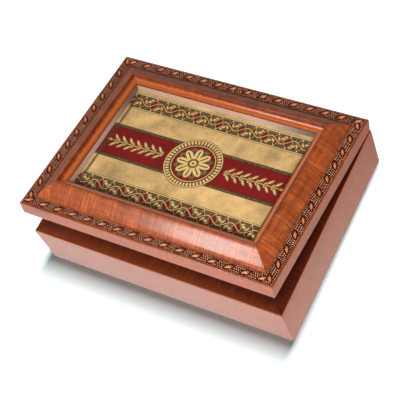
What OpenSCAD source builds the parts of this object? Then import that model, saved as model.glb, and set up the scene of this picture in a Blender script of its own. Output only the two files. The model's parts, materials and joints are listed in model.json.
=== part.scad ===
// Keepsake box: a mitred wooden case with a hinged lid made as a picture frame.
// Millimetres. +Z is up, -Y is the front, and the origin is the centre of the foot.

/* [Case] */
// Outer width of the case, side to side
case_w = 203.2; // [180:0.1:260]
// Outer depth of the case, front to back
case_d = 152.4; // [130:0.1:200]
// Height of the case from the table to its rim
case_h = 41; // [34:0.5:80]
// Thickness of the four walls
wall_t = 12.7; // [11:0.1:15]
// Radius that eases the outer edge of the rim
rim_r = 0.9; // [0.3:0.1:2]
// Thickness of the bottom panel
bottom_t = 3.2; // [2.4:0.1:5]
// How far the bottom panel is let into each wall
bottom_let_in = 5; // [3:0.5:6]
// Thickness of the felt under the bottom
felt_t = 1.2; // [0.8:0.1:2]

/* [Linings] */
// Thickness of the velvet-covered cards on the walls
lining_t = 1.5; // [1:0.1:3]
// Bare wood left above the wall linings
lining_drop = 4; // [2:0.5:8]
// Thickness of the padded card on the floor
floor_pad_t = 2; // [1:0.1:4]

/* [Lid frame] */
// How far the lid stands in from the case on each side
lid_inset = 0.5; // [0:0.1:1]
// Height of the lid's flat outer side
side_h = 11.4; // [10.8:0.1:14]
// Inset of the crest, the highest line of the moulding
crest_u = 21; // [20:0.1:23]
// Height of the crest above the lid's underside
crest_h = 20.6; // [20:0.1:22]
// Radius of the crest
crest_r = 1.1; // [0.8:0.1:1.4]
// Radius of the broad rounded face outside the crest
cushion_r = 28; // [24:1:60]
// Inset where the rounded face leaves the ornament band
cushion_start_u = 8.9; // [8.7:0.1:9.4]
// Radius of the cove inside the crest
cove_r = 2.9; // [2.6:0.1:3.1]
// Inset of the sight edge, where the moulding ends over the picture
sight_u = 27; // [26.6:0.1:29]
// Height of the sight edge above the lid's underside
sight_h = 15.2; // [14.4:0.1:15.6]
// Width of the rabbet that holds the glass, behind the sight edge
rabbet_w = 3; // [2:0.1:4]
// Height of the rabbet, which is the height of the glass's upper face
rabbet_h = 10; // [9.2:0.1:10.6]

/* [Ornament] */
// Inset of the ornament strip's outer edge
strip_u0 = 1; // [0.9:0.1:1.4]
// Inset of the ornament strip's inner edge
strip_u1 = 8.5; // [8:0.1:8.6]
// Distance from one leaf to the next along the strip
leaf_pitch = 12.46; // [11:0.01:15]
// Length of a leaf from tip to tip
leaf_len = 6.6; // [5:0.1:8]
// Width of a leaf
leaf_w = 2.5; // [1.8:0.1:3]
// Height of a leaf above the strip
leaf_h = 1.1; // [0.6:0.1:1.2]
// Slant of the leaves, inwards to the right
leaf_slant = 25; // [0:1:40]
// Radius of the two cords that edge the strip
cord_r = 0.55; // [0.4:0.05:0.7]

/* [Picture] */
// Thickness of the glass
glass_t = 2; // [1.8:0.1:2.2]
// Thickness of the printed card
print_t = 0.4; // [0.2:0.1:0.6]
// Thickness of the backing board
backing_t = 2.5; // [2:0.1:2.6]
// Thickness of the velvet-covered board that closes the lid from below
liner_t = 3; // [2:0.1:3.2]

/* [Hinges] */
// Distance from the centre of the box to each hinge
hinge_x = 58; // [40:1:70]
// Width of a hinge
hinge_w = 26; // [20:1:34]
// Thickness of the hinge leaves
leaf_plate_t = 0.9; // [0.7:0.1:1.1]
// Depth of the hinge leaves, from the pin to the front edge
leaf_plate_d = 11; // [9.5:0.1:11.5]
// Radius of the knuckles
knuckle_r = 1.75; // [1.5:0.05:1.9]
// Radius of the hinge pins
pin_r = 0.8; // [0.6:0.05:1]
// How far the hinge pin stands behind the back of the case
pin_back = 1.95; // [1.95:0.05:2.5]
// Angle at which the lid stands ajar
ajar_angle = 8.9; // [0:0.1:95]
// Angle at which the stop tongues meet the back of the case
open_angle = 95; // [90:1:110]

/* [Hidden] */
$fn = 48;
e = 0.01;                       // overlap that lets a cut run past a face

// Sides are counted anticlockwise seen from above: front, right, back, left.
FRONT = 0;
RIGHT = 1;
BACK = 2;
LEFT = 3;

lid_w = case_w - 2 * lid_inset;
lid_d = case_d - 2 * lid_inset;
seam = 0.05;                    // half the gap between the case and the closed lid
pin_y = case_d / 2 + pin_back;
pin_z = case_h + seam;
pin_clearance = 0.05;           // running clearance of the lid's knuckle on its pin

inner_w = case_w - 2 * wall_t;
inner_d = case_d - 2 * wall_t;
floor_z = felt_t + bottom_t;
pad_z = floor_z + floor_pad_t;
panel_gap = 0.3;                // play round a panel in its rabbet

side_r = 0.8;                   // eased upper edge of the lid's side
channel_t = 0.6;                // depth of the channel that the ornament strip lies in
sight_bead_r = 0.55;            // small bead between the cove and the sight edge
sight_bead_u = crest_u + crest_r + cove_r + 0.1;
sight_bead_h = crest_h - crest_r - cove_r + 0.15;
sight_quirk = 0.5;              // width and depth of the dark line inside the bead

screw_r = 1;
play = 0.03;                    // play of a screw in its hole
screw_head_r = 1.85;
screw_l = 8;
screw_x = 8;                    // from the hinge's centre to each screw
screw_y = 6;                    // from the pin to the screws
slot_w = 0.5;                   // screwdriver slot
slot_h = 0.35;

wood_col = [0.66, 0.29, 0.13];
strip_col = [0.42, 0.22, 0.14];
velvet_col = [0.32, 0.05, 0.08];
felt_col = [0.13, 0.11, 0.10];
brass_col = [0.76, 0.60, 0.30];
steel_col = [0.62, 0.62, 0.64];
board_col = [0.52, 0.40, 0.28];
paper_col = [0.76, 0.66, 0.45];

// ---- helpers ----

// Brings a piece drawn along the front side to any side of a box of size w by d.
module on_side(side, w, d)
    rotate([0, 0, 90 * side])
        translate([0, side % 2 == 0 ? -d / 2 : -w / 2, 0]) children();

// Length of a side of a box of size w by d.
function side_length(side, w, d) = side % 2 == 0 ? w : d;

// Cuts a piece drawn along a side to 45 degrees at both ends.
module mitred(length, depth, height)
    intersection() {
        union() children();
        translate([0, 0, -1])
            linear_extrude(height = height + 2)
                polygon([[-length / 2, 0], [length / 2, 0],
                         [length / 2 - depth, depth], [-length / 2 + depth, depth]]);
    }

// Runs a profile, with its inset along x and its height along y, along a side.
module run(length)
    rotate([90, 0, 90]) linear_extrude(height = length + 2, center = true) children();

// The lid stands ajar: it is drawn closed and turned about the hinge pins.
module on_lid()
    translate([0, pin_y, pin_z]) rotate([-ajar_angle, 0, 0])
        translate([0, -pin_y, seam]) children();

// ---- case ----

module wall_profile()
    difference() {
        square([wall_t, case_h]);
        translate([wall_t - bottom_let_in, -e]) square([bottom_let_in + e, floor_z + e]);
        difference() {
            translate([-e, case_h - rim_r]) square([rim_r + e, rim_r + e]);
            translate([rim_r, case_h - rim_r]) circle(r = rim_r);
        }
    }

module wall(side)
    color(wood_col)
        on_side(side, case_w, case_d)
            mitred(side_length(side, case_w, case_d), wall_t, case_h)
                run(side_length(side, case_w, case_d)) wall_profile();

module hinge_recess(z, height)
    for (x = [-hinge_x, hinge_x])
        translate([x - hinge_w / 2 - 0.1, pin_y - leaf_plate_d - 0.1, z])
            cube([hinge_w + 0.2, leaf_plate_d, height]);

module screw_holes(z)
    for (x = [-hinge_x, hinge_x], side = [-1, 1])
        translate([x + side * screw_x, pin_y - screw_y, z])
            cylinder(r = screw_r + play, h = screw_l + 0.4);

module front_wall() wall(FRONT);
module right_wall() wall(RIGHT);
module left_wall() wall(LEFT);
module back_wall()
    color(wood_col) difference() {
        wall(BACK);
        hinge_recess(case_h - leaf_plate_t, leaf_plate_t + 1);
        screw_holes(case_h - screw_l - 0.4);
    }

panel_w = inner_w + 2 * (bottom_let_in - panel_gap);
panel_d = inner_d + 2 * (bottom_let_in - panel_gap);

module bottom_panel()
    color(board_col)
        translate([-panel_w / 2, -panel_d / 2, felt_t]) cube([panel_w, panel_d, bottom_t]);

module underside_felt()
    color(felt_col)
        translate([-panel_w / 2, -panel_d / 2, 0]) cube([panel_w, panel_d, felt_t]);

module floor_pad()
    color(velvet_col)
        translate([-inner_w / 2, -inner_d / 2, floor_z]) cube([inner_w, inner_d, floor_pad_t]);

// The front and back cards run the whole width, and the side cards fit between them.
module lining(side) {
    length = side % 2 == 0 ? inner_w : inner_d - 2 * lining_t;
    color(velvet_col)
        on_side(side, inner_w, inner_d)
            translate([-length / 2, 0, pad_z])
                cube([length, lining_t, case_h - lining_drop - pad_z]);
}

module front_lining() lining(FRONT);
module right_lining() lining(RIGHT);
module back_lining() lining(BACK);
module left_lining() lining(LEFT);

// ---- lid frame ----

// Centre of a circle of radius big that goes through p and takes in, touching,
// a circle of radius small about q. It lies on the right of the line from p to q.
function wrap_centre(p, big, q, small) =
    let (d = norm(q - p),
         along = (big * big - (big - small) * (big - small) + d * d) / (2 * d),
         across = sqrt(big * big - along * along),
         dir = (q - p) / d)
    p + along * dir + across * [dir.y, -dir.x];

crest_centre = [crest_u, crest_h - crest_r];
cushion_centre = wrap_centre([cushion_start_u, side_h], cushion_r, crest_centre, crest_r);

// The moulding, from its flat side at inset 0 to the sight edge.
module rail_profile()
    difference() {
        union() {
            square([sight_u, side_h]);
            intersection() {                                      // rounded face
                translate(cushion_centre) circle(r = cushion_r, $fn = 160);
                translate([strip_u1, 0]) square([crest_u - strip_u1, crest_h]);
            }
            translate(crest_centre) circle(r = crest_r);
            translate([crest_u, 0]) square([sight_bead_u - crest_u, crest_centre.y]);
            translate([crest_u, 0]) square([crest_r, crest_centre.y]);
            translate([sight_bead_u, sight_bead_h]) circle(r = sight_bead_r);
            translate([crest_u, 0]) square([sight_u - crest_u, sight_h]);
        }
        translate([crest_u + crest_r + cove_r, crest_centre.y]) circle(r = cove_r);
        translate([crest_u + crest_r + cove_r, crest_centre.y - cove_r + sight_bead_r])
            square([sight_u, cove_r]);
        translate([sight_bead_u + sight_bead_r, sight_h - sight_quirk / 2])
            square([sight_quirk, sight_quirk]);
        translate([sight_u - rabbet_w, -e]) square([rabbet_w + e, rabbet_h + e]);
        translate([strip_u0, side_h - channel_t]) square([strip_u1 - strip_u0, channel_t + 0.05]);
        difference() {                                            // eased outer edge
            translate([-e, side_h - side_r]) square([side_r + e, side_r + e]);
            translate([side_r, side_h - side_r]) circle(r = side_r);
        }
    }

module rail(side)
    color(wood_col)
        on_side(side, lid_w, lid_d)
            mitred(side_length(side, lid_w, lid_d), sight_u, crest_h)
                run(side_length(side, lid_w, lid_d)) rail_profile();

module front_rail() on_lid() rail(FRONT);
module right_rail() on_lid() rail(RIGHT);
module left_rail() on_lid() rail(LEFT);
module back_rail()
    color(wood_col) on_lid() difference() {
        rail(BACK);
        hinge_recess(-1, leaf_plate_t + 1);
        screw_holes(0);
    }

// ---- pressed ornament: slanted leaves between two cords ----

// A leaf is the lens that two round cuts leave, with a crowned top.
module leaf_relief() {
    half_len = leaf_len / 2;
    half_w = leaf_w / 2;
    cut_r = (half_len * half_len + half_w * half_w) / leaf_w;
    crown_r = (half_len * half_len + leaf_h * leaf_h) / (2 * leaf_h);
    intersection() {
        translate([0, cut_r - half_w, -channel_t]) cylinder(r = cut_r, h = leaf_h + channel_t);
        translate([0, half_w - cut_r, -channel_t]) cylinder(r = cut_r, h = leaf_h + channel_t);
        translate([0, 0, leaf_h - crown_r]) sphere(r = crown_r, $fn = 96);
    }
}

module ornament(side) {
    length = side_length(side, lid_w, lid_d);
    leaves = floor(length / leaf_pitch);
    first = -(leaves - 1) * leaf_pitch / 2 - 1.3;     // the run starts a little to the left
    strip_w = strip_u1 - strip_u0;
    color(strip_col) on_lid() on_side(side, lid_w, lid_d)
        mitred(length, strip_u1, side_h + leaf_h) {
            run(length) {
                translate([strip_u0, side_h - channel_t]) square([strip_w, channel_t]);
                for (u = [strip_u0 + cord_r, strip_u1 - cord_r])
                    translate([u, side_h]) circle(r = cord_r, $fn = 24);
            }
            for (i = [0 : leaves - 1])
                translate([first + i * leaf_pitch, strip_u0 + strip_w / 2, side_h])
                    rotate([0, 0, leaf_slant]) leaf_relief();
        }
}

module front_ornament() ornament(FRONT);
module right_ornament() ornament(RIGHT);
module back_ornament() ornament(BACK);
module left_ornament() ornament(LEFT);

// ---- picture ----

picture_w = lid_w - 2 * (sight_u - rabbet_w + panel_gap);
picture_d = lid_d - 2 * (sight_u - rabbet_w + panel_gap);
glass_h = rabbet_h - glass_t;
print_h = glass_h - print_t;
backing_h = print_h - backing_t;
point_t = 0.4;
liner_h = backing_h - point_t - 0.2 - liner_t;

// A flat panel in the rabbet, with its lower face at height h.
module picture_layer(h, t)
    on_lid() translate([-picture_w / 2, -picture_d / 2, h]) cube([picture_w, picture_d, t]);

module glass_pane() color([0.85, 0.92, 0.92, 0.3]) picture_layer(glass_h, glass_t);
module art_print() color(paper_col) picture_layer(print_h, print_t);
module backing_board() color(board_col) picture_layer(backing_h, backing_t);
module lid_liner() color(velvet_col) picture_layer(liner_h, liner_t);

// Flat points pushed into the rabbet's wall, which hold the backing up.
point_l = 9;
point_w = 6;
point_bite = 3;                 // length of a point inside the wood
module glazing_points()
    color(steel_col) on_lid()
        for (side = [FRONT, RIGHT, BACK, LEFT], place = [-1, 1])
            on_side(side, lid_w, lid_d)
                translate([place * side_length(side, lid_w, lid_d) / 5,
                           sight_u - rabbet_w - point_bite, backing_h - point_t])
                    linear_extrude(height = point_t)
                        polygon([[-point_w / 2, point_l], [point_w / 2, point_l],
                                 [point_w / 2, point_bite], [0, 0], [-point_w / 2, point_bite]]);

// ---- hinges ----

knuckle_gap = 0.2;
middle_w = hinge_w / 3;         // the lid's knuckle, between the two of the case
heel_d = knuckle_r + 0.25;      // where a leaf stops short of the other leaf's knuckle

// One knuckle from x0 to x1 on the pin's line, with the strip that joins it to its leaf.
module knuckle(x0, x1, plate_z) {
    translate([x0, 0, 0]) rotate([0, 90, 0]) cylinder(r = knuckle_r, h = x1 - x0);
    translate([x0, -heel_d - 1, plate_z]) cube([x1 - x0, heel_d + 1, leaf_plate_t]);
}

module plate(z)
    translate([-hinge_w / 2, -leaf_plate_d, z])
        cube([hinge_w, leaf_plate_d - heel_d, leaf_plate_t]);

// Countersunk holes through a leaf, as wide as the screws' heads on the leaf's face.
// The leaf's face is at height z, and up is 1 where it looks up and -1 where it looks down.
module countersinks(z, up)
    for (side = [-1, 1])
        translate([side * screw_x, -screw_y, z]) rotate([up > 0 ? 0 : 180, 0, 0]) {
            translate([0, 0, -leaf_plate_t - 1]) cylinder(r = screw_r + play, h = leaf_plate_t + 2);
            translate([0, 0, screw_r - screw_head_r])
                cylinder(r1 = screw_r + play, r2 = screw_head_r + play + 1,
                         h = screw_head_r - screw_r + 1);
        }

module pin_hole(r)
    rotate([0, 90, 0]) cylinder(r = r, h = hinge_w + 2, center = true);

module case_leaf(x)
    color(brass_col) translate([x, pin_y, pin_z]) difference() {
        union() {
            plate(-seam - leaf_plate_t);
            knuckle(-hinge_w / 2, -middle_w / 2 - knuckle_gap, -seam - leaf_plate_t);
            knuckle(middle_w / 2 + knuckle_gap, hinge_w / 2, -seam - leaf_plate_t);
        }
        pin_hole(pin_r);
        countersinks(-seam, 1);
    }

// The tongue on the lid's knuckle swings down and meets the back of the case.
tongue_t = 0.8;
tongue_l = 3.8;
tongue_root = 0.3;              // how far the tongue runs up past the pin's level when open
tongue_w = middle_w - 1;
module stop_tongue()
    rotate([open_angle, 0, 0])
        translate([-tongue_w / 2, -pin_back + seam, -tongue_l])
            cube([tongue_w, tongue_t, tongue_l + tongue_root]);

module lid_leaf(x)
    color(brass_col) translate([x, pin_y, pin_z]) rotate([-ajar_angle, 0, 0]) difference() {
        union() {
            plate(seam);
            knuckle(-middle_w / 2, middle_w / 2, seam);
            stop_tongue();
        }
        pin_hole(pin_r + pin_clearance);
        countersinks(seam, -1);
    }

module hinge_pin(x)
    color(brass_col) translate([x, pin_y, pin_z])
        rotate([0, 90, 0]) cylinder(r = pin_r, h = hinge_w, center = true);

module left_hinge_case_leaf() case_leaf(-hinge_x);
module right_hinge_case_leaf() case_leaf(hinge_x);
module left_hinge_lid_leaf() lid_leaf(-hinge_x);
module right_hinge_lid_leaf() lid_leaf(hinge_x);
module left_hinge_pin() hinge_pin(-hinge_x);
module right_hinge_pin() hinge_pin(hinge_x);

// A countersunk screw with its head's flat face at z = 0 and its shank below.
module screw()
    difference() {
        union() {
            translate([0, 0, -(screw_head_r - screw_r)])
                cylinder(r1 = screw_r, r2 = screw_head_r, h = screw_head_r - screw_r);
            translate([0, 0, -screw_l]) cylinder(r = screw_r, h = screw_l - 0.5);
        }
        translate([-screw_head_r, -slot_w / 2, -slot_h]) cube([2 * screw_head_r, slot_w, slot_h + 1]);
    }

module case_hinge_screws()
    color(brass_col)
        for (x = [-hinge_x, hinge_x], side = [-1, 1])
            translate([x + side * screw_x, pin_y - screw_y, case_h]) screw();

module lid_hinge_screws()
    color(brass_col) on_lid()
        for (x = [-hinge_x, hinge_x], side = [-1, 1])
            translate([x + side * screw_x, pin_y - screw_y, 0]) rotate([180, 0, 0]) screw();

front_wall();
right_wall();
back_wall();
left_wall();
bottom_panel();
underside_felt();
floor_pad();
front_lining();
right_lining();
back_lining();
left_lining();
front_rail();
right_rail();
back_rail();
left_rail();
front_ornament();
right_ornament();
back_ornament();
left_ornament();
glass_pane();
art_print();
backing_board();
glazing_points();
lid_liner();
left_hinge_case_leaf();
left_hinge_lid_leaf();
left_hinge_pin();
right_hinge_case_leaf();
right_hinge_lid_leaf();
right_hinge_pin();
case_hinge_screws();
lid_hinge_screws();
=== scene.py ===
import json
import math
import bpy
import numpy as np
from mathutils import Matrix, Vector


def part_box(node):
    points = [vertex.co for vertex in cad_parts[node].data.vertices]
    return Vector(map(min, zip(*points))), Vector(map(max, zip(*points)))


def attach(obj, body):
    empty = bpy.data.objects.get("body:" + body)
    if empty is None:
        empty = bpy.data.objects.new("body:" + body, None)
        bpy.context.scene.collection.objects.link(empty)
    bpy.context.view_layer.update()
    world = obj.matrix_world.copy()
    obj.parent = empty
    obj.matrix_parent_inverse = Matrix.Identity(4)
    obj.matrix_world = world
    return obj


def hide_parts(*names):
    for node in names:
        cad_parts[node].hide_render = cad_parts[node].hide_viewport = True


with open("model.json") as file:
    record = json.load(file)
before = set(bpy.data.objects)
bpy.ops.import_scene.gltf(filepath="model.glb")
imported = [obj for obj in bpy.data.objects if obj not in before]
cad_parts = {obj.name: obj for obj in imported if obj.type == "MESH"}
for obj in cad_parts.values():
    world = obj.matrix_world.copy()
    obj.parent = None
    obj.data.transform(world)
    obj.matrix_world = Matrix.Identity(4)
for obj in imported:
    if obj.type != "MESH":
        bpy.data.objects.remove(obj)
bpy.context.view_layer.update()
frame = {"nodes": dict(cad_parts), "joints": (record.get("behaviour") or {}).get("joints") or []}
nodes = frame["nodes"]
print("frame loaded,", len(nodes), "nodes")

mm = 0.001
sideNames = ("front", "right", "back", "left")

# where the lid lies: it is turned about the hinge pins and stands ajar
hinge = next(j for j in frame["joints"] if j["name"] == "lid_hinge")
pin = Vector(hinge["pos_m"])
ajar = -math.radians(hinge["range_deg"][0])
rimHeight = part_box("front_wall")[1].z
lidSeam = pin.z - rimHeight
lidFrame = (
    Matrix.Translation(pin)
    @ Matrix.Rotation(-ajar, 4, "X")
    @ Matrix.Translation((0, -pin.y, lidSeam))
)


def boxIn(space, node):  # lowest and highest corner of a CAD node in another space
    inverse = space.inverted()
    points = np.array([inverse @ v.co for v in nodes[node].data.vertices])
    return Vector(points.min(0)), Vector(points.max(0))


lidLow, lidHigh = boxIn(lidFrame, "front_rail")
lidWide = lidHigh.x - lidLow.x
lidDeep = boxIn(lidFrame, "right_rail")[1].y - boxIn(lidFrame, "right_rail")[0].y
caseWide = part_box("front_wall")[1].x * 2
caseDeep = -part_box("front_wall")[0].y * 2


def sideSpace(side, space, wide, deep):  # x runs along that side, y inwards from its edge, z up
    inset = (deep if side % 2 == 0 else wide) / 2
    return space @ Matrix.Rotation(math.radians(90 * side), 4, "Z") @ Matrix.Translation((0, -inset, 0))


def lidSide(side):
    return sideSpace(side, lidFrame, lidWide, lidDeep)


def caseSide(side):
    return sideSpace(side, Matrix.Identity(4), caseWide, caseDeep)


# camera, at the photograph's angle
camera = {
    "place": (0.37661, -0.31356, 0.74995),
    "right": (0.86040, 0.43610, -0.26368),
    "up": (-0.26963, 0.82861, 0.49062),
    "lens": 108.04,
    "sensor": 36,
}


def addCamera():
    data = bpy.data.cameras.new("camera")
    data.lens = camera["lens"]
    data.sensor_width = camera["sensor"]
    data.clip_start = 0.01
    eye = bpy.data.objects.new("camera", data)
    right = Vector(camera["right"]).normalized()
    up = Vector(camera["up"]).normalized()
    back = right.cross(up).normalized()
    turn = Matrix((right, back.cross(right), back)).transposed().to_4x4()
    eye.matrix_world = Matrix.Translation(camera["place"]) @ turn
    bpy.context.scene.collection.objects.link(eye)
    bpy.context.scene.camera = eye


addCamera()
print("camera placed")

# small helpers for node trees


def addNode(tree, kind, **settings):
    node = tree.nodes.new(kind)
    for key, value in settings.items():
        setattr(node, key, value)
    return node


def put(tree, socket, value):  # a socket takes a link or a plain value
    if isinstance(value, bpy.types.NodeSocket):
        tree.links.new(value, socket)
    else:
        socket.default_value = value


def calc(tree, operation, *values, clamp=False):
    node = addNode(tree, "ShaderNodeMath", operation=operation, use_clamp=clamp)
    for socket, value in zip(node.inputs, values):
        put(tree, socket, value)
    return node.outputs[0]


def remap(tree, value, low, high, toLow=0.0, toHigh=1.0, smooth=False):
    node = addNode(tree, "ShaderNodeMapRange", interpolation_type="SMOOTHSTEP" if smooth else "LINEAR")
    for socket, given in zip(node.inputs, (value, low, high, toLow, toHigh)):
        put(tree, socket, given)
    return node.outputs[0]


def blendColours(tree, share, first, second, how="MIX"):
    node = addNode(tree, "ShaderNodeMix", data_type="RGBA", blend_type=how)
    for socket, value in ((0, share), (6, first), (7, second)):
        put(tree, node.inputs[socket], value)
    return node.outputs[2]


def colourRamp(tree, value, *stops):
    node = addNode(tree, "ShaderNodeValToRGB")
    ramp = node.color_ramp
    while len(ramp.elements) < len(stops):
        ramp.elements.new(0.5)
    for element, (place, colour) in zip(ramp.elements, stops):
        element.position = place
        element.color = (*colour, 1)
    tree.links.new(value, node.inputs[0])
    return node.outputs[0]


def grain(tree, place, scale, detail=3.0, roughness=0.5, stretch=(1, 1, 1), shift=0.0):
    mapping = addNode(tree, "ShaderNodeMapping")
    mapping.inputs["Scale"].default_value = stretch
    mapping.inputs["Location"].default_value = (shift, shift, shift)
    tree.links.new(place, mapping.inputs[0])
    noise = addNode(tree, "ShaderNodeTexNoise")
    noise.inputs["Scale"].default_value = scale
    noise.inputs["Detail"].default_value = detail
    noise.inputs["Roughness"].default_value = roughness
    tree.links.new(mapping.outputs[0], noise.inputs["Vector"])
    return noise.outputs[0]


def placeIn(tree, space):  # a point of the piece, in the space of a side or of the lid
    where = addNode(tree, "ShaderNodeTexCoord").outputs["Object"]
    mapping = addNode(tree, "ShaderNodeMapping", vector_type="TEXTURE")
    mapping.inputs["Location"].default_value = space.to_translation()
    mapping.inputs["Rotation"].default_value = space.to_euler()
    tree.links.new(where, mapping.inputs[0])
    return mapping.outputs[0]


def newFinish(name, roughness=0.5, **values):
    made = bpy.data.materials.new(name)
    made.use_nodes = True
    tree = made.node_tree
    shader = tree.nodes["Principled BSDF"]
    shader.inputs["Roughness"].default_value = roughness
    for key, value in values.items():
        shader.inputs[key.replace("_", " ")].default_value = value
    return made, tree, shader


def addBump(tree, shader, height, strength, depth):
    bump = addNode(tree, "ShaderNodeBump")
    bump.inputs["Strength"].default_value = strength
    bump.inputs["Distance"].default_value = depth
    tree.links.new(height, bump.inputs["Height"])
    tree.links.new(bump.outputs[0], shader.inputs["Normal"])
    return bump.outputs[0]


def dress(node, finish):  # a CAD node keeps its shape and takes a finish
    data = nodes[node].data
    data.materials.clear()
    data.materials.append(finish)


# stained and lacquered wood
wood = {
    "dark": (0.245, 0.038, 0.006),
    "middle": (0.405, 0.074, 0.0115),
    "light": (0.710, 0.162, 0.029),
    "stain": (0.095, 0.016, 0.006),  # darker patches of the stain
    "glaze": (0.042, 0.004, 0.001),  # what stays in corners and joints; on the rim it also gives painted shade
    "rubbed": (0.54, 0.125, 0.026),  # the bead over the sight edge, rubbed lighter
    "sightStrip": (0.47, 0.30, 0.22),  # the strip that shows between moulding and picture
    "sightPaintedShade": (0.10, 0.075, 0.060),  # the same at its dark end, a painted shade
    "specular": 0.25,
    "spread": 0.16,  # of the noise, between dark and light, before a look's contrast
    "streaks": 980,  # fine streaks across the piece, per metre
    "fibreShare": 0.38,  # of the coarser fibres in the tone, the rest is streaks
    "brushed": 900,  # strokes of the stain along the piece, per metre
    "brushedShare": 0.45,  # of those strokes in the mottling, the rest is mottles
    "clouds": 34,  # large and small patches of the stain, per metre
    "cloudEdges": (0.44, 0.70),
    "mottles": 380,
    "mottleEdges": (0.42, 0.68),
    "ripple": 2.0,  # how much the mottles swell the lacquer against the streaks
    "roughness": (0.36, 0.50),
    "coat": 0.9,
    "wornCoat": 0.2,  # on the bare rim and beside the crest
    "coatRoughness": 0.15,
    "coatIor": 1.6,
    "rubbedShare": 0.75,
    "jointLine": (0.1, 0.4),  # millimetres from the mitre, where its line is full and where it ends
}
# lines are hollows and edges with more glaze: inset and half width in millimetres, and share
wallLook = {
    "contrast": 0.37,
    "stain": 0.18,
    "mottling": 0.1,
    "joint": 0.35,
    "lines": ((0.55, 0.3, 0.4),),
    "rim": (0.42, 0.66),  # glaze and painted shade on the rim, at its outer and at its inner edge; the painted shade is deeper at the inner edge, under the lid
    "rimEndShade": 0.12,  # and how much more painted shade there is at its second end
}
rimShadeUnderLid = (0.68, 0.82)  # painted shade: the right and back rims, under the lid, are darker
railLook = {
    "contrast": 0.87,
    "calm": (0.8, 9, 0.4),  # between these insets the contrast grows from that share to all of it
    "stain": 0.6,
    "mottling": 0.5,
    "joint": 0.45,
    "lines": (
        (0.5, 0.35, 0.45),
        (8.7, 0.3, 0.6),
        (20.6, 0.9, 0.35),
        (22.0, 0.55, 0.6),
        (26.3, 0.35, 0.6),
    ),
    "rubbed": (24.5, 1.0),  # inset and half width of the bead
    "dull": (22.0, 0.9),  # and of the inner side of the crest, worn through the lacquer
    "sight": (26.9, 15.1),  # inset of the strip over the picture, and its top
    "paintedShadeLength": 48,  # how far the painted shade at the end of that strip reaches from its first corner
}


def inMillimetres(tree, where):  # along the side, in from its edge, and up
    parted = addNode(tree, "ShaderNodeSeparateXYZ")
    tree.links.new(where, parted.inputs[0])
    return [calc(tree, "MULTIPLY", value, 1 / mm) for value in parted.outputs]


def offFrom(tree, value, place):
    return calc(tree, "ABSOLUTE", calc(tree, "SUBTRACT", value, place))


def stainedColour(tree, where, inset, look):
    streaks = grain(tree, where, wood["streaks"], 2, 0.6, (1, 0.05, 0.05))
    fibres = grain(tree, where, wood["streaks"] / 3, 3, 0.6, (1, 0.1, 0.1), 0.3)
    share = wood["fibreShare"]
    tone = calc(tree, "MULTIPLY_ADD", fibres, share, calc(tree, "MULTIPLY", streaks, 1 - share))
    if "calm" in look:
        calm = remap(tree, inset, *look["calm"], 1)
        tone = calc(tree, "MULTIPLY_ADD", calc(tree, "SUBTRACT", tone, 0.5), calm, 0.5)
    spread = wood["spread"] / look["contrast"]
    colour = colourRamp(
        tree, tone, (0.5 - spread, wood["dark"]), (0.5, wood["middle"]), (0.5 + spread, wood["light"])
    )
    clouds = grain(tree, where, wood["clouds"], 5, 0.65, (0.5, 2.6, 2.6), 0.7)
    ragged = calc(tree, "MULTIPLY_ADD", streaks, 0.3, calc(tree, "SUBTRACT", clouds, 0.15))
    patches = remap(tree, ragged, *wood["cloudEdges"], 0, look["stain"], smooth=True)
    colour = blendColours(tree, patches, colour, (*wood["stain"], 1))
    brushed = grain(tree, where, wood["brushed"], 3, 0.6, (0.06, 1, 1), 0.4)
    mottles = grain(tree, where, wood["mottles"], 3, 0.6, (0.6, 1, 1), 0.9)
    share = wood["brushedShare"]
    uneven = calc(tree, "MULTIPLY_ADD", brushed, share, calc(tree, "MULTIPLY", mottles, 1 - share))
    uneven = remap(tree, uneven, *wood["mottleEdges"], 0, look["mottling"], smooth=True)
    uneven = calc(tree, "MULTIPLY", uneven, remap(tree, inset, 1, 9, 0.3, 1))  # less near the outer edge
    return blendColours(tree, uneven, colour, (*wood["stain"], 1)), streaks, fibres, mottles


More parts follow.
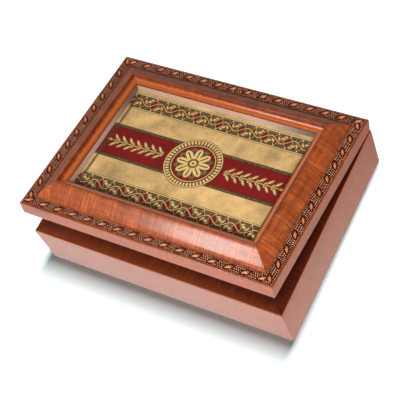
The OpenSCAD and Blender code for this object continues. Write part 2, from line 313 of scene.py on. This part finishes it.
def woodFinish(name, space, half, look):  # half is half the length of that side
    made, tree, shader = newFinish(name, Coat_Weight=wood["coat"], Coat_Roughness=wood["coatRoughness"])
    shader.inputs["Coat IOR"].default_value = wood["coatIor"]
    shader.inputs["Specular IOR Level"].default_value = wood["specular"]
    where = placeIn(tree, space)
    along, inset, up = inMillimetres(tree, where)
    colour, streaks, fibres, mottles = stainedColour(tree, where, inset, look)
    toJoint = calc(tree, "ADD", calc(tree, "ABSOLUTE", along), calc(tree, "SUBTRACT", inset, half / mm))
    above = remap(tree, up, 0.5, 1.5)  # the underside is neither rubbed nor glazed
    if "rubbed" in look:
        place, wide = look["rubbed"]
        off = offFrom(tree, inset, place)
        rubbed = remap(tree, off, wide, wide + 0.6, wood["rubbedShare"], 0)
        rubbed = calc(tree, "MULTIPLY", above, rubbed)
        colour = blendColours(tree, rubbed, colour, (*wood["rubbed"], 1))
    lines = [remap(tree, calc(tree, "ABSOLUTE", toJoint), *wood["jointLine"], look["joint"], 0)]
    for place, wide, share in look["lines"]:
        line = remap(tree, offFrom(tree, inset, place), wide * 0.4, wide * 1.4, share, 0)
        lines.append(calc(tree, "MULTIPLY", above, line))
    if "rim" in look:
        # the rim: glaze streaked like the stain, and painted shade from the lid that deepens inwards and
        # towards the second end
        top = remap(tree, up, rimHeight / mm - 0.2, rimHeight / mm - 0.05)
        rimGlazeAndShade = remap(tree, inset, 1, 9, *look["rim"])
        rimGlazeAndShade = calc(tree, "ADD", rimGlazeAndShade, remap(tree, along, 0, half / mm, 0, look["rimEndShade"]))
        lines.append(calc(tree, "MULTIPLY", calc(tree, "MULTIPLY_ADD", streaks, 0.5, rimGlazeAndShade), top))
        coat = remap(tree, top, 0, 1, wood["coat"], wood["wornCoat"])
        tree.links.new(coat, shader.inputs["Coat Weight"])
    if "dull" in look:
        place, wide = look["dull"]
        coat = remap(tree, offFrom(tree, inset, place), wide, wide + 0.2, wood["wornCoat"], wood["coat"])
        tree.links.new(coat, shader.inputs["Coat Weight"])
    for line in lines:
        colour = blendColours(tree, calc(tree, "MINIMUM", line, 1), colour, (*wood["glaze"], 1))
    if "sight" in look:
        place, top = look["sight"]
        inside = remap(tree, inset, place - 0.05, place + 0.05)
        under = remap(tree, up, top - 0.1, top + 0.1, 1, 0)
        strip = calc(tree, "MULTIPLY", inside, under)
        colour = blendColours(tree, strip, colour, (*wood["sightStrip"], 1))
        # painted shade on the strip, strongest at its first corner and fading along it
        fromCorner = calc(tree, "SUBTRACT", calc(tree, "ADD", along, half / mm), inset)
        fading = remap(tree, fromCorner, 0, look["paintedShadeLength"], 1, 0, smooth=True)
        shade = calc(tree, "MULTIPLY", strip, fading)
        colour = blendColours(tree, shade, colour, (*wood["sightPaintedShade"], 1))
    tree.links.new(colour, shader.inputs["Base Color"])
    rough = remap(tree, fibres, 0.3, 0.7, *wood["roughness"])
    tree.links.new(rough, shader.inputs["Roughness"])
    uneven = calc(tree, "MULTIPLY_ADD", mottles, wood["ripple"], streaks)
    tree.links.new(addBump(tree, shader, uneven, 0.3, 0.06 * mm), shader.inputs["Coat Normal"])
    return made


for side, sideName in enumerate(sideNames):
    caseHalf, lidHalf = (caseWide / 2, lidWide / 2) if side % 2 == 0 else (caseDeep / 2, lidDeep / 2)
    # the right and back rims take more painted shade
    look = {**wallLook, "rim": rimShadeUnderLid} if sideName in ("right", "back") else wallLook
    finish = woodFinish(sideName + "WallWood", caseSide(side), caseHalf, look)
    dress(sideName + "_wall", finish)
    finish = woodFinish(sideName + "RailWood", lidSide(side), lidHalf, railLook)
    dress(sideName + "_rail", finish)
print("wood finished")

# pressed ornament: leaves and berries between two rows of beads
ornament = {
    "step": 0.22 * mm,
    "backing": 0.35 * mm,  # thickness under the relief
    "beadHeight": 0.8 * mm,
    "beadHalf": (0.55 * mm, 0.52 * mm),
    "beadPitch": 1.5 * mm,
    "beadLean": 0.35,
    "leafLength": 7.8 * mm,
    "leafWidth": 3.2 * mm,
    "leafHeight": 1.3 * mm,
    "leafSlant": math.radians(30),
    "berriesPerLeaf": 8,
    "berryRows": (-1.75 * mm, 0, 1.75 * mm),
    "berryHalf": (0.86 * mm, 0.54 * mm),  # across the strip and along it
    "berryHeight": 0.9 * mm,
    "pitch": 12.46 * mm,
    "firstShift": -1.3 * mm,
    "veinDepth": 0.2 * mm,
    "leafGroove": 0.3 * mm,
    "ground": (0.050, 0.0095, 0.0034),
    "berry": (1.0, 0.37, 0.18),
    "leafLow": (0.19, 0.032, 0.008),
    "leafHigh": (0.80, 0.235, 0.078),
    "patches": 420,  # where the glaze has stayed thick over the berries, per metre
    "patchEdges": (0.46, 0.60),
    "patchShare": 0.68,
}


def dome(across, along, halfAcross, halfAlong, height):  # a rounded bump, nothing outside its outline
    inside = 1 - (across / halfAcross) ** 2 - (along / halfAlong) ** 2
    return height * np.sqrt(np.clip(inside, 0, 1))


def turned(x, y, angle):
    return x * math.cos(angle) + y * math.sin(angle), y * math.cos(angle) - x * math.sin(angle)


def leafRelief(x, y):
    s, t = turned(x, y, ornament["leafSlant"])
    s = s / (ornament["leafLength"] / 2)
    outline = np.clip(1 - s * s, 0, 1) * ornament["leafWidth"] / 2
    body = np.clip(1 - (t / np.maximum(outline, 1e-6)) ** 2, 0, 1) ** 0.9
    crown = ornament["leafHeight"] * np.clip(1 - s * s, 0, 1) ** 0.5 * (0.78 - 0.3 * s) / 0.85
    vein = ornament["veinDepth"] * np.exp(-((t / (0.16 * mm)) ** 2)) * np.clip(1 - s * s, 0, 1)
    return np.clip(body * crown - vein, 0, None)


def berryRelief(x, y):  # staggered rows of berries that leave a groove round the leaf
    pitch = ornament["pitch"] / ornament["berriesPerLeaf"]
    wide, long = ornament["berryHalf"]
    height = np.zeros_like(x)
    for row, across in enumerate(ornament["berryRows"]):
        turn = x / pitch + row % 2 / 2
        along = (turn - np.round(turn)) * pitch
        height = np.maximum(height, dome(y - across, along, wide, long, ornament["berryHeight"]))
    s, t = turned(x, y, ornament["leafSlant"])
    half = ornament["leafLength"] / 2
    outline = np.clip(1 - (s / half) ** 2, 0, 1) * ornament["leafWidth"] / 2
    gap = np.maximum(np.abs(t) - outline, np.abs(s) - half)
    return height * np.clip((gap - ornament["leafGroove"]) / (0.25 * mm), 0, 1)


def ornamentRelief(x, u, low, high, first):  # height, share of the full height, and where a leaf is
    beads = np.zeros_like(x)
    wide, long = ornament["beadHalf"]
    for edge, lean in ((low + wide, ornament["beadLean"]), (high - wide, -ornament["beadLean"])):
        phase = (x + (u - edge) * lean) / ornament["beadPitch"]
        along = (phase - np.round(phase)) * ornament["beadPitch"]
        beads = np.maximum(beads, dome(u - edge, along, wide, long, ornament["beadHeight"]))
    fromLeaf = (x - first) / ornament["pitch"]
    nearest = (fromLeaf - np.round(fromLeaf)) * ornament["pitch"]
    across = u - (low + high) / 2
    leaves = leafRelief(nearest, across)
    berries = berryRelief(nearest, across)
    height = np.maximum(np.maximum(beads, berries), leaves)
    small = np.maximum(beads / ornament["beadHeight"], berries / ornament["berryHeight"])
    isLeaf = leaves >= height
    return height, np.where(isLeaf, leaves / ornament["leafHeight"], small), isLeaf & (leaves > 0)


def gridFaces(across, along, start=0):  # quads of a grid whose rows run along
    rows = np.arange(across - 1)[:, None] * along + np.arange(along - 1)[None, :] + start
    return np.stack((rows, rows + 1, rows + along + 1, rows + along), -1).reshape(-1, 4)


def closedSheet(name, top, bottom):  # top and bottom are grids of points; joins them into a solid
    across, along = top.shape[:2]
    count = across * along
    points = np.concatenate((top.reshape(-1, 3), bottom.reshape(-1, 3)))
    faces = [gridFaces(across, along), gridFaces(across, along, count)[:, ::-1]]
    index = np.arange(count).reshape(across, along)
    edges = (index[0, :], index[:, -1], index[-1, ::-1], index[::-1, 0])
    for line in edges:
        a, b = line[:-1], line[1:]
        faces.append(np.stack((a, a + count, b + count, b), -1))
    mesh = bpy.data.meshes.new(name)
    mesh.from_pydata(points.tolist(), [], np.concatenate(faces).tolist())
    mesh.polygons.foreach_set("use_smooth", [True] * len(mesh.polygons))
    mesh.update()
    made = bpy.data.objects.new(name, mesh)
    bpy.context.scene.collection.objects.link(made)
    return made


def moved(space, points):
    matrix = np.array(space)
    return points @ matrix[:3, :3].T + matrix[:3, 3]


def ornamentStrip(side, finish):
    node = sideNames[side] + "_ornament"
    space = lidSide(side)
    low, high = boxIn(space, node)
    length = lidWide if side % 2 == 0 else lidDeep
    face = low.z + ornament["backing"]
    leaves = math.floor(length / ornament["pitch"])
    first = -(leaves - 1) * ornament["pitch"] / 2 + ornament["firstShift"]
    across = np.linspace(low.y, high.y, round((high.y - low.y) / (ornament["step"] * 0.9)))
    along = np.linspace(-1, 1, round(length / ornament["step"]))
    u = np.repeat(across[:, None], len(along), 1)
    x = along[None, :] * (length / 2 - u)
    relief, level, isLeaf = ornamentRelief(x, u, low.y, high.y, first)
    top = moved(space, np.stack((x, u, face + relief), -1))
    bottom = moved(space, np.stack((x, u, np.full_like(x, low.z)), -1))
    strip = closedSheet(sideNames[side] + "_leaf_strip", top, bottom)
    for label, values in (("level", level), ("leaf", isLeaf)):
        shade = strip.data.attributes.new(label, "FLOAT", "POINT")
        spread = np.concatenate((values.ravel(), np.zeros(relief.size)))
        shade.data.foreach_set("value", spread.astype(np.float32))
    strip.data.materials.append(finish)
    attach(strip, "lid")
    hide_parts(node)


def ornamentFinish():
    made, tree, shader = newFinish("pressedOrnament", 0.34, Coat_Roughness=0.2)
    level = addNode(tree, "ShaderNodeAttribute", attribute_name="level").outputs["Fac"]
    isLeaf = addNode(tree, "ShaderNodeAttribute", attribute_name="leaf").outputs["Fac"]
    where = placeIn(tree, lidFrame)
    speck = grain(tree, where, 900, 3, 0.6)
    level = calc(tree, "MULTIPLY_ADD", speck, 0.2, calc(tree, "SUBTRACT", level, 0.1))
    small = colourRamp(tree, level, (0.6, ornament["ground"]), (0.86, ornament["berry"]))
    patches = grain(tree, where, ornament["patches"], 2, 0.6, shift=0.2)
    thick = remap(tree, patches, *ornament["patchEdges"], 0, ornament["patchShare"])
    small = blendColours(tree, thick, small, (*ornament["ground"], 1))
    leaf = colourRamp(
        tree, level, (0.1, ornament["ground"]), (0.5, ornament["leafLow"]), (0.95, ornament["leafHigh"])
    )
    colour = blendColours(tree, isLeaf, small, leaf)
    tree.links.new(colour, shader.inputs["Base Color"])
    rough = remap(tree, level, 0.1, 0.8, 0.6, 0.3)
    tree.links.new(rough, shader.inputs["Roughness"])
    coat = calc(tree, "MULTIPLY", remap(tree, level, 0.4, 0.8), remap(tree, isLeaf, 0, 1, 0.6, 0.9))
    tree.links.new(coat, shader.inputs["Coat Weight"])
    tree.links.new(remap(tree, level, 0.3, 0.7, 0.03, 0.4), shader.inputs["Specular IOR Level"])
    addBump(tree, shader, speck, 0.15, 0.05 * mm)
    return made


pressed = ornamentFinish()
for side in range(4):
    ornamentStrip(side, pressed)
print("ornament pressed")

# velvet, for the linings, the floor pad and the lid's underside
velvet = {
    "dark": (0.085, 0.006, 0.012),
    "light": (0.22, 0.014, 0.026),
    "pile": 2600,
    "brushed": 34,
    "pad": (0.5 * mm, 0.9 * mm),  # crown, and rounding of the edges
    "lining": (0.3 * mm, 0.6 * mm),
}


def velvetFinish():
    made, tree, shader = newFinish(
        "wineVelvet", 0.88, Sheen_Weight=0.55, Sheen_Roughness=0.4, Specular_IOR_Level=0.2
    )
    where = addNode(tree, "ShaderNodeTexCoord").outputs["Object"]
    pile = grain(tree, where, velvet["pile"], 2, 0.6)
    brushed = grain(tree, where, velvet["brushed"], 3, 0.5)
    tone = calc(tree, "MULTIPLY_ADD", pile, 0.45, calc(tree, "MULTIPLY", brushed, 0.55))
    tree.links.new(
        colourRamp(tree, tone, (0.36, velvet["dark"]), (0.64, velvet["light"])), shader.inputs["Base Color"]
    )
    addBump(tree, shader, pile, 0.5, 0.15 * mm)
    return made


def softCard(name, node, space, finish, body, crown, edge):
    # a card wrapped in cloth: flat behind, crowned in front, with rounded edges
    low, high = boxIn(space, node)
    size = high - low
    parts = (round(size.x / (1.6 * mm)), round(size.y / (1.6 * mm)))
    lines = []
    for count, length in zip(parts, (size.x, size.y)):
        fine = edge * (1 - np.cos(np.linspace(0, math.pi / 2, 7)))
        middle = np.linspace(edge, length - edge, count)
        lines.append(np.concatenate((fine[:-1], middle, length - fine[-2::-1])))
    x, y = np.meshgrid(lines[0], lines[1])
    toEdge = np.minimum(np.minimum(x, size.x - x), np.minimum(y, size.y - y))
    inward = np.clip(1 - toEdge / edge, 0, 1)
    rounded = edge * (1 - np.sqrt(1 - inward**2))
    bulge = crown * (1 - (2 * x / size.x - 1) ** 4) * (1 - (2 * y / size.y - 1) ** 4)
    height = size.z - crown + bulge - rounded
    top = np.stack((x + low.x, y + low.y, height + low.z), -1)
    bottom = np.stack((x + low.x, y + low.y, np.full_like(x, low.z)), -1)
    piece = closedSheet(name, moved(space, top), moved(space, bottom))
    piece.data.materials.append(finish)
    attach(piece, body)
    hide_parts(node)
    return piece


def facing(side):  # looks out of that wall into the box: x along, y up, z inwards
    upright = Matrix(((1, 0, 0, 0), (0, 0, 1, 0), (0, 1, 0, 0), (0, 0, 0, 1)))
    return caseSide(side) @ upright @ Matrix.Diagonal((-1, 1, 1, 1))


wineVelvet = velvetFinish()
softCard("velvet_floor_pad", "floor_pad", Matrix.Identity(4), wineVelvet, "case", *velvet["pad"])
for side, sideName in enumerate(sideNames):
    lining = sideName + "_velvet_lining"
    softCard(lining, sideName + "_lining", facing(side), wineVelvet, "case", *velvet["lining"])
lookingDown = lidFrame @ Matrix.Rotation(math.pi, 4, "X")
softCard("velvet_lid_liner", "lid_liner", lookingDown, wineVelvet, "lid", *velvet["pad"])
print("velvet laid")

# metal of the hinges, screws and glazing points
metals = {
    "brass": {"light": (0.86, 0.62, 0.27), "dark": (0.62, 0.40, 0.15), "roughness": 0.28},
    "steel": {"light": (0.62, 0.62, 0.64), "dark": (0.42, 0.42, 0.45), "roughness": 0.35},
}


def metalFinish(kind):
    given = metals[kind]
    made, tree, shader = newFinish(kind + "Metal", given["roughness"], Metallic=1.0)
    where = addNode(tree, "ShaderNodeTexCoord").outputs["Object"]
    brushed = grain(tree, where, 500, 2, 0.6, (0.08, 1, 1))
    tarnish = grain(tree, where, 160, 4, 0.6)
    tone = calc(tree, "MULTIPLY_ADD", brushed, 0.3, calc(tree, "MULTIPLY", tarnish, 0.7))
    tree.links.new(
        colourRamp(tree, tone, (0.35, given["dark"]), (0.6, given["light"])), shader.inputs["Base Color"]
    )
    rough = remap(tree, tarnish, 0.3, 0.7, given["roughness"] - 0.06, given["roughness"] + 0.12)
    tree.links.new(rough, shader.inputs["Roughness"])
    addBump(tree, shader, brushed, 0.1, 0.03 * mm)
    return made


brass = metalFinish("brass")
for place in ("left", "right"):
    for part in ("_hinge_case_leaf", "_hinge_lid_leaf", "_hinge_pin"):
        dress(place + part, brass)
dress("case_hinge_screws", brass)
dress("lid_hinge_screws", brass)
dress("glazing_points", metalFinish("steel"))
print("metal finished")

# boards and felt: dark, light, fibres per metre, roughness and slot
boards = {
    "bottom_panel": ((0.30, 0.17, 0.085), (0.42, 0.26, 0.14), 260, 0.75, "board"),
    "backing_board": ((0.22, 0.13, 0.07), (0.34, 0.21, 0.12), 520, 0.85, "board"),
    "underside_felt": ((0.010, 0.009, 0.009), (0.040, 0.036, 0.034), 1500, 0.95, "felt"),
}


def boardFinish(name, dark, light, scale, roughness):
    made, tree, shader = newFinish(name + "Finish", roughness)
    where = addNode(tree, "ShaderNodeTexCoord").outputs["Object"]
    fibres = grain(tree, where, scale, 5, 0.7)
    tree.links.new(colourRamp(tree, fibres, (0.35, dark), (0.65, light)), shader.inputs["Base Color"])
    addBump(tree, shader, fibres, 0.4, 0.1 * mm)
    return made


for node, (dark, light, scale, roughness, slot) in boards.items():
    dress(node, boardFinish(node, dark, light, scale, roughness))
print("boards finished")


def glassFinish():  # clear glass that lets the lamps through to the print
    made, tree, shader = newFinish("clearGlass", 0.0, Transmission_Weight=1.0, IOR=1.45)
    shader.inputs["Base Color"].default_value = (0.96, 0.98, 0.97, 1)
    clear = addNode(tree, "ShaderNodeBsdfTransparent")
    shadow = addNode(tree, "ShaderNodeLightPath").outputs["Is Shadow Ray"]
    mix = addNode(tree, "ShaderNodeMixShader")
    tree.links.new(shadow, mix.inputs[0])
    tree.links.new(shader.outputs[0], mix.inputs[1])
    tree.links.new(clear.outputs[0], mix.inputs[2])
    tree.links.new(mix.outputs[0], tree.nodes["Material Output"].inputs[0])
    return made


dress("glass_pane", glassFinish())


# the printed card: a band with a rosette and leaf sprays between two friezes, all of plain geometry
picture = {
    "parchment": ((0.26, 0.160, 0.064), (0.52, 0.325, 0.135)),
    "crimson": ((0.098, 0.002, 0.001), (0.150, 0.004, 0.003)),
    "olive": (0.026, 0.018, 0.007),
    "bronze": (0.120, 0.070, 0.025),
    "gold": (0.52, 0.34, 0.13),
    "ink": (0.012, 0.007, 0.004),
    "bandHalf": 13.0,  # all in millimetres from the centre of the card
    "bandEdge": 2.2,
    "friezeMiddle": 39.5,
    "friezeHalf": 6.5,
    "friezePitch": 18.5,
    "friezeLeaves": (  # each leaf of a frieze or spray: its place, half length, half width and angle
        (4.4, -2.2, 3.3, 1.7, 0.5),
        (3.0, -4.0, 2.2, 1.1, -0.3),
        (7.4, -1.2, 2.6, 1.3, 2.2),
    ),
    "ringOuter": 21.5,
    "ringInner": 16.5,
    "rosette": 14.5,
    "petals": 8,
    "sprayStart": 25.0,
    "sprayPitch": 6.2,
    "sprayPairs": 7,
    "sprayLeaves": ((0.9, 3.3, 4.1, 1.35, 0.85), (-2.1, 1.5, 1.7, 0.8, 0.85)),
    "borderX": 72.0,
    "underGlass": 0.05 * mm,
}


def printFinish():
    made, tree, shader = newFinish("printedCard", 0.6)
    shader.inputs["Specular IOR Level"].default_value = 0.1
    where = placeIn(tree, lidFrame)
    parted = addNode(tree, "ShaderNodeSeparateXYZ")
    tree.links.new(where, parted.inputs[0])

    def plus(first, second):
        return calc(tree, "ADD", first, second)

    def less(first, second):
        return calc(tree, "SUBTRACT", first, second)

    def times(first, second):
        return calc(tree, "MULTIPLY", first, second)

    def size(value):
        return calc(tree, "ABSOLUTE", value)

    def below(value, edge, soft=0.12):  # 1 where the value is under the edge
        return remap(tree, value, edge - soft, edge + soft, 1, 0, smooth=True)

    def between(value, low, high, soft=0.12):
        return times(below(value, high, soft), less(1, below(value, low, soft)))

    def length(first, second):
        return calc(tree, "SQRT", plus(times(first, first), times(second, second)))

    def leaf(px, py, atX, atY, long, wide, angle):  # 0 at the rim of an oval leaf, 1 at its middle
        dx, dy = less(px, atX), less(py, atY)
        c, s = math.cos(angle), math.sin(angle)
        along = calc(tree, "MULTIPLY_ADD", dx, c / long, times(dy, s / long))
        across = calc(tree, "MULTIPLY_ADD", dy, c / wide, times(dx, -s / wide))
        return less(1, plus(times(along, along), size(across)))

    def repeat(value, pitch):  # counts from the middle of each repeat
        turn = calc(tree, "DIVIDE", value, pitch)
        return times(less(turn, calc(tree, "ROUND", turn)), pitch)

    x = times(parted.outputs[0], 1 / mm)
    y = times(parted.outputs[1], 1 / mm)
    farX, farY = size(x), size(y)
    mottle = grain(tree, where, 55, 5, 0.65)
    speck = grain(tree, where, 620, 3, 0.6)
    tone = calc(tree, "MULTIPLY_ADD", mottle, 0.8, times(speck, 0.2))
    colour = colourRamp(tree, tone, (0.36, picture["parchment"][0]), (0.62, picture["parchment"][1]))
    crimson = colourRamp(tree, tone, (0.35, picture["crimson"][0]), (0.65, picture["crimson"][1]))
    relief = colourRamp(tree, speck, (0.36, picture["olive"]), (0.62, picture["bronze"]))

    def paint(mask, over):
        nonlocal colour
        given = over if isinstance(over, bpy.types.NodeSocket) else (*picture[over], 1)
        colour = blendColours(tree, mask, colour, given)

    def paintLeaf(shape):  # a dark rim, then bronze, then gold in the middle
        paint(remap(tree, shape, -0.12, -0.02, 0, 1), "ink")
        paint(remap(tree, shape, 0.02, 0.12, 0, 1), "bronze")
        paint(remap(tree, shape, 0.2, 0.75, 0, 1), "gold")

    bandHalf, bandEdge = picture["bandHalf"], picture["bandEdge"]
    paint(below(farY, bandHalf + bandEdge), relief)
    paint(below(farY, bandHalf), crimson)
    for edge in (bandHalf, bandHalf + bandEdge):
        paint(between(farY, edge - 0.22, edge + 0.22), "ink")

    middle, half = picture["friezeMiddle"], picture["friezeHalf"]
    upDown = less(farY, middle)
    paint(below(size(upDown), half), relief)
    pitch = picture["friezePitch"]
    step = repeat(x, pitch)
    stem = times(calc(tree, "SINE", times(x, 2 * math.pi / pitch)), 2.6)
    lozenge = calc(tree, "MULTIPLY_ADD", size(repeat(x, pitch / 2)), 1.5, size(upDown))
    for reach, over in ((6.0, "ink"), (5.6, "gold"), (5.1, crimson)):
        paint(below(lozenge, reach), over)
    paint(below(size(less(upDown, stem)), 0.75, 0.2), "ink")
    paint(below(size(less(upDown, stem)), 0.35, 0.2), "gold")
    for sign in (-1, 1):
        for atX, atY, long, wide, angle in picture["friezeLeaves"]:
            paintLeaf(leaf(step, upDown, sign * atX, sign * atY, long, wide, angle))
    beads = length(repeat(plus(x, pitch / 2), pitch / 2), less(size(upDown), half - 1.0))
    paint(below(beads, 0.6, 0.15), "gold")
    for edge, thick, over in ((half + 0.2, 0.75, "ink"), (half + 0.2, 0.35, "gold")):
        paint(below(size(less(size(upDown), edge)), thick, 0.1), over)

    sprayPitch = picture["sprayPitch"]
    along = less(farX, picture["sprayStart"])
    sprayLength = sprayPitch * picture["sprayPairs"]
    inSpray = times(less(1, below(along, 0)), below(along, sprayLength))
    paint(times(inSpray, below(farY, 0.5)), "ink")
    paint(times(inSpray, below(farY, 0.28)), "gold")
    count = repeat(less(along, sprayPitch / 2), sprayPitch)
    for atX, atY, long, wide, angle in picture["sprayLeaves"]:
        paintLeaf(less(leaf(count, farY, atX, atY, long, wide, angle), times(less(1, inSpray), 4)))
    paintLeaf(leaf(along, farY, sprayLength + 2.2, 0, 3.2, 1.5, 0))

    out = length(x, y)
    angle = calc(tree, "ARCTAN2", y, x)
    wave = size(calc(tree, "COSINE", times(angle, picture["petals"] / 2)))
    lesser = size(calc(tree, "SINE", times(angle, picture["petals"] / 2)))
    paint(below(out, picture["ringOuter"] + 0.5), "ink")
    paint(below(out, picture["ringOuter"]), "gold")
    paint(below(out, picture["ringOuter"] - 0.7), relief)
    notch = calc(tree, "COSINE", times(angle, picture["petals"] * 6))
    ringMiddle = (picture["ringOuter"] + picture["ringInner"]) / 2
    bead = length(times(less(out, ringMiddle), 0.9), times(less(1, notch), 1.1))
    paint(below(bead, 1.35, 0.3), "gold")
    paint(below(out, picture["ringInner"] + 0.5), "ink")
    paint(below(out, picture["ringInner"]), "gold")
    paint(below(out, picture["ringInner"] - 0.6), crimson)
    for reach, wide, over in ((1.0, lesser, "bronze"), (0.93, wave, "gold")):
        edge = times(plus(times(calc(tree, "POWER", wide, 0.7), 0.62), 0.36), picture["rosette"] * reach)
        paint(below(less(out, edge), 0.35, 0.1), "ink")
        paint(below(less(out, edge), 0, 0.1), over)
        vein = times(less(1, wide), times(out, 2.2))
        paint(times(below(vein, 0.5, 0.25), between(out, 4.5, picture["rosette"] * 0.8, 0.6)), "olive")
    for reach, over in ((4.2, "ink"), (3.8, "bronze"), (2.4, "gold"), (0.9, "ink")):
        paint(below(out, reach), over)

    for edge, thick in ((picture["borderX"], 0.55), (picture["borderX"] - 1.2, 0.25)):
        paint(times(below(size(less(farX, edge)), thick), below(farY, middle + half)), "olive")
    tree.links.new(colour, shader.inputs["Base Color"])
    addBump(tree, shader, speck, 0.06, 0.03 * mm)
    return made


def layPicture():  # a hair under the glass, so that the two faces never coincide
    low, high = boxIn(lidFrame, "art_print")
    x, y = np.meshgrid((low.x, high.x), (low.y, high.y))
    top = np.stack((x, y, np.full_like(x, high.z - picture["underGlass"])), -1)
    bottom = np.stack((x, y, np.full_like(x, low.z)), -1)
    card = closedSheet("printed_picture", moved(lidFrame, top), moved(lidFrame, bottom))
    card.data.polygons.foreach_set("use_smooth", [False] * len(card.data.polygons))
    card.data.materials.append(printFinish())
    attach(card, "lid")
    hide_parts("art_print")


layPicture()
print("picture set")

# floor, world and lamps
stage = {
    "floor": (0.645, 0.70, 0.70, 1),
    "poolCentre": (-0.04, -0.13, 0),  # painted light: in reflections and through the glass the floor glows, brightest in front of the box
    "poolRadii": (0.08, 0.40),
    "poolOutside": 0.06,
    "poolRight": (0.09, 0.12, 1, 0.8),  # and that painted glow is a little darker to the right of the box
    "floorHalf": 3,
    "worldTint": (0.84, 0.97, 1.0, 1),
    "worldLit": 0.30,
    "worldGlossy": 0.06,
    "wallGlossy": 1.5,  # a bright strip of wall behind and to the left, seen only in the lacquer
    "wallWay": (-0.766, 0.643, 0),
    "wallSpread": (0.6, 0.9),  # cosine of the turn from that way, where it begins and where it is full
    "wallFoot": (0, 0.06),  # sine of the height over the horizon, the same
    "wallTop": (0.45, 0.60),  # and where it fades and ends
}


def addFloor():
    size = stage["floorHalf"]
    mesh = bpy.data.meshes.new("floor")
    corners = [(-size, -size, 0), (size, -size, 0), (size, size, 0), (-size, size, 0)]
    mesh.from_pydata(corners, [], [(0, 1, 2, 3)])
    floor = bpy.data.objects.new("floor", mesh)
    bpy.context.scene.collection.objects.link(floor)
    made = bpy.data.materials.new("floorPaper")
    made.use_nodes = True
    tree = made.node_tree
    tree.nodes.remove(tree.nodes["Principled BSDF"])
    paper = addNode(tree, "ShaderNodeBsdfDiffuse")
    paper.inputs[0].default_value = stage["floor"]
    glow = addNode(tree, "ShaderNodeEmission")
    where = addNode(tree, "ShaderNodeTexCoord").outputs["Object"]
    far = addNode(tree, "ShaderNodeVectorMath", operation="DISTANCE")
    tree.links.new(where, far.inputs[0])
    far.inputs[1].default_value = stage["poolCentre"]
    paintedGlow = remap(tree, far.outputs["Value"], *stage["poolRadii"], 1, stage["poolOutside"], smooth=True)
    parted = addNode(tree, "ShaderNodeSeparateXYZ")
    tree.links.new(where, parted.inputs[0])
    paintedGlow = calc(tree, "MULTIPLY", paintedGlow, remap(tree, parted.outputs[0], *stage["poolRight"]))
    tree.links.new(paintedGlow, glow.inputs["Strength"])
    # reflections and the glass see the floor as this painted glow, the camera sees the lit paper
    path = addNode(tree, "ShaderNodeLightPath")
    seen = calc(tree, "MAXIMUM", path.outputs["Is Transmission Ray"], path.outputs["Is Glossy Ray"])
    mix = addNode(tree, "ShaderNodeMixShader")
    tree.links.new(seen, mix.inputs[0])
    tree.links.new(paper.outputs[0], mix.inputs[1])
    tree.links.new(glow.outputs[0], mix.inputs[2])
    tree.links.new(mix.outputs[0], tree.nodes["Material Output"].inputs[0])
    mesh.materials.append(made)


def addWorld():
    world = bpy.data.worlds.new("studio")
    bpy.context.scene.world = world
    world.use_nodes = True
    tree = world.node_tree
    backdrop = tree.nodes["Background"]
    path = addNode(tree, "ShaderNodeLightPath")
    bounces = calc(tree, "ADD", path.outputs["Diffuse Depth"], path.outputs["Glossy Depth"])
    straight = calc(tree, "LESS_THAN", bounces, 0.5)
    throughGlass = calc(tree, "MULTIPLY", path.outputs["Is Transmission Ray"], straight)
    seen = calc(tree, "MAXIMUM", path.outputs["Is Camera Ray"], throughGlass)
    way = addNode(tree, "ShaderNodeTexCoord").outputs["Generated"]
    towards = addNode(tree, "ShaderNodeVectorMath", operation="DOT_PRODUCT")
    tree.links.new(way, towards.inputs[0])
    towards.inputs[1].default_value = stage["wallWay"]
    parted = addNode(tree, "ShaderNodeSeparateXYZ")
    tree.links.new(way, parted.inputs[0])
    height = parted.outputs[2]
    wall = remap(tree, towards.outputs["Value"], *stage["wallSpread"], 0, stage["wallGlossy"], smooth=True)
    wall = calc(tree, "MULTIPLY", wall, remap(tree, height, *stage["wallFoot"], smooth=True))
    wall = calc(tree, "MULTIPLY", wall, remap(tree, height, *stage["wallTop"], 1, 0, smooth=True))
    glossy = calc(tree, "ADD", wall, stage["worldGlossy"])
    strength = remap(tree, path.outputs["Is Glossy Ray"], 0, 1, stage["worldLit"], glossy)
    strength = calc(tree, "MAXIMUM", strength, seen)
    tree.links.new(strength, backdrop.inputs[1])
    tint = blendColours(tree, seen, stage["worldTint"], (1, 1, 1, 1))
    tree.links.new(tint, backdrop.inputs[0])


lamps = {  # place, size and power of each soft box; all look at the box
    "keyBox": {"place": (0.34, -0.42, 0.66), "size": (0.28, 0.28), "power": 6.6},
    "frontBox": {"place": (-0.41, -0.66, 0.90), "size": (0.16, 0.80), "power": 4.0},
    "floorBox": {"place": (0.04, 0.30, 1.7), "size": (0.16, 0.46), "power": 52.0},
}
lightsFloorOnly = ("floorBox",)  # gives the floor its level and the soft shadow in front of the box


def addLamp(name):
    given = lamps[name]
    data = bpy.data.lights.new(name, "AREA")
    data.shape = "RECTANGLE"
    data.size, data.size_y = given["size"]
    data.energy = given["power"]
    lamp = bpy.data.objects.new(name, data)
    place = Vector(given["place"])
    away = (place - Vector((0, 0, 0.03))).normalized()
    upright = away.cross(Vector((1, 0, 0))).normalized()
    turn = Matrix((upright.cross(away), upright, away)).transposed().to_4x4()
    lamp.matrix_world = Matrix.Translation(place) @ turn
    lamp.visible_transmission = False  # the glass passes the lamps' light as it is, without specks
    bpy.context.scene.collection.objects.link(lamp)
    return lamp


addFloor()
addWorld()
floorOnly = bpy.data.collections.new("floorOnly")
floorOnly.objects.link(bpy.data.objects["floor"])
allButFloor = bpy.data.collections.new("allButFloor")
allButFloor.objects.link(bpy.data.objects["floor"])
allButFloor.collection_objects[0].light_linking.link_state = "EXCLUDE"
for name in lamps:
    linking = addLamp(name).light_linking
    linking.receiver_collection = floorOnly if name in lightsFloorOnly else allButFloor
bpy.context.scene.view_settings.view_transform = "Standard"
print("stage lit")
